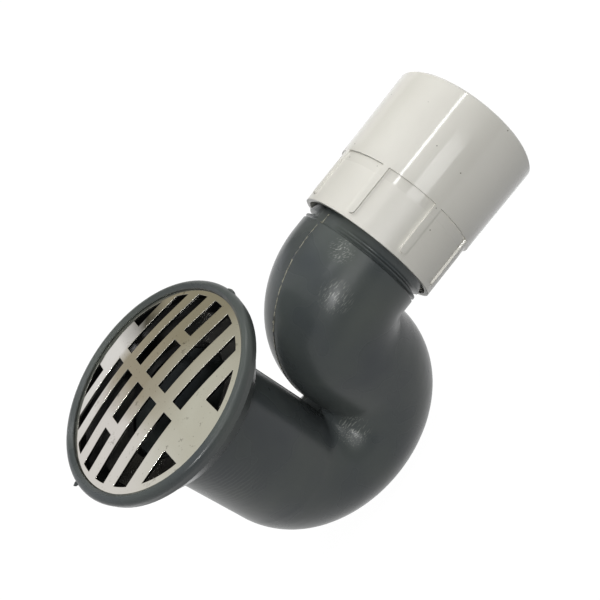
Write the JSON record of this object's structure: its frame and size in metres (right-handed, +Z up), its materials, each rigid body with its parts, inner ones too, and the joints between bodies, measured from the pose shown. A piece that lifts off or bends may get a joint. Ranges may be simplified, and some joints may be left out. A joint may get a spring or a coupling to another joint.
{
  "type": "shower trap",
  "caption": "Floor shower trap: a dark moulded water-seal bend with a domed slotted metal grate in its rim and a white screwed adaptor with a socket for the waste pipe.",
  "frame": {"origin": "centre of the flange's underside, on the axis of the inlet", "axes": "+Z up out of the inlet through the grate, +X along the outlet towards the mouth of the pipe socket, +Y by the right-hand rule; the mould parts on the plane y = 0"},
  "size_m": [0.1742, 0.0774, 0.1188],
  "materials": {
    "moulded_pvc": "dark blue-grey soft PVC, semi-gloss from the mould, lightly scuffed",
    "polished_steel": "mirror-polished pressed stainless steel",
    "white_pvc": "warm white rigid PVC, glossy from the mould",
    "washer_rubber": "matt black rubber"
  },
  "bodies": {
    "trap": {"trap_body": "moulded_pvc", "grate": "polished_steel"},
    "washer": {"sealing_washer": "washer_rubber"},
    "adaptor": {"adaptor": "white_pvc"}
  },
  "joints": [
    {"name": "adaptor_travel", "type": "slide", "parent": "trap", "child": "washer", "axis": [1, 0, 0], "range_m": [-0.0053, 0.0123]},
    {"name": "adaptor_turn", "type": "hinge", "parent": "washer", "child": "adaptor", "pos_m": [0.08, 0, -0.022], "axis": [1, 0, 0], "range_deg": [-540, 1260]}
  ],
  "couplings": [
    {"joint": "adaptor_travel", "follows": "adaptor_turn", "m_per_rad": 0.00055704}
  ]
}
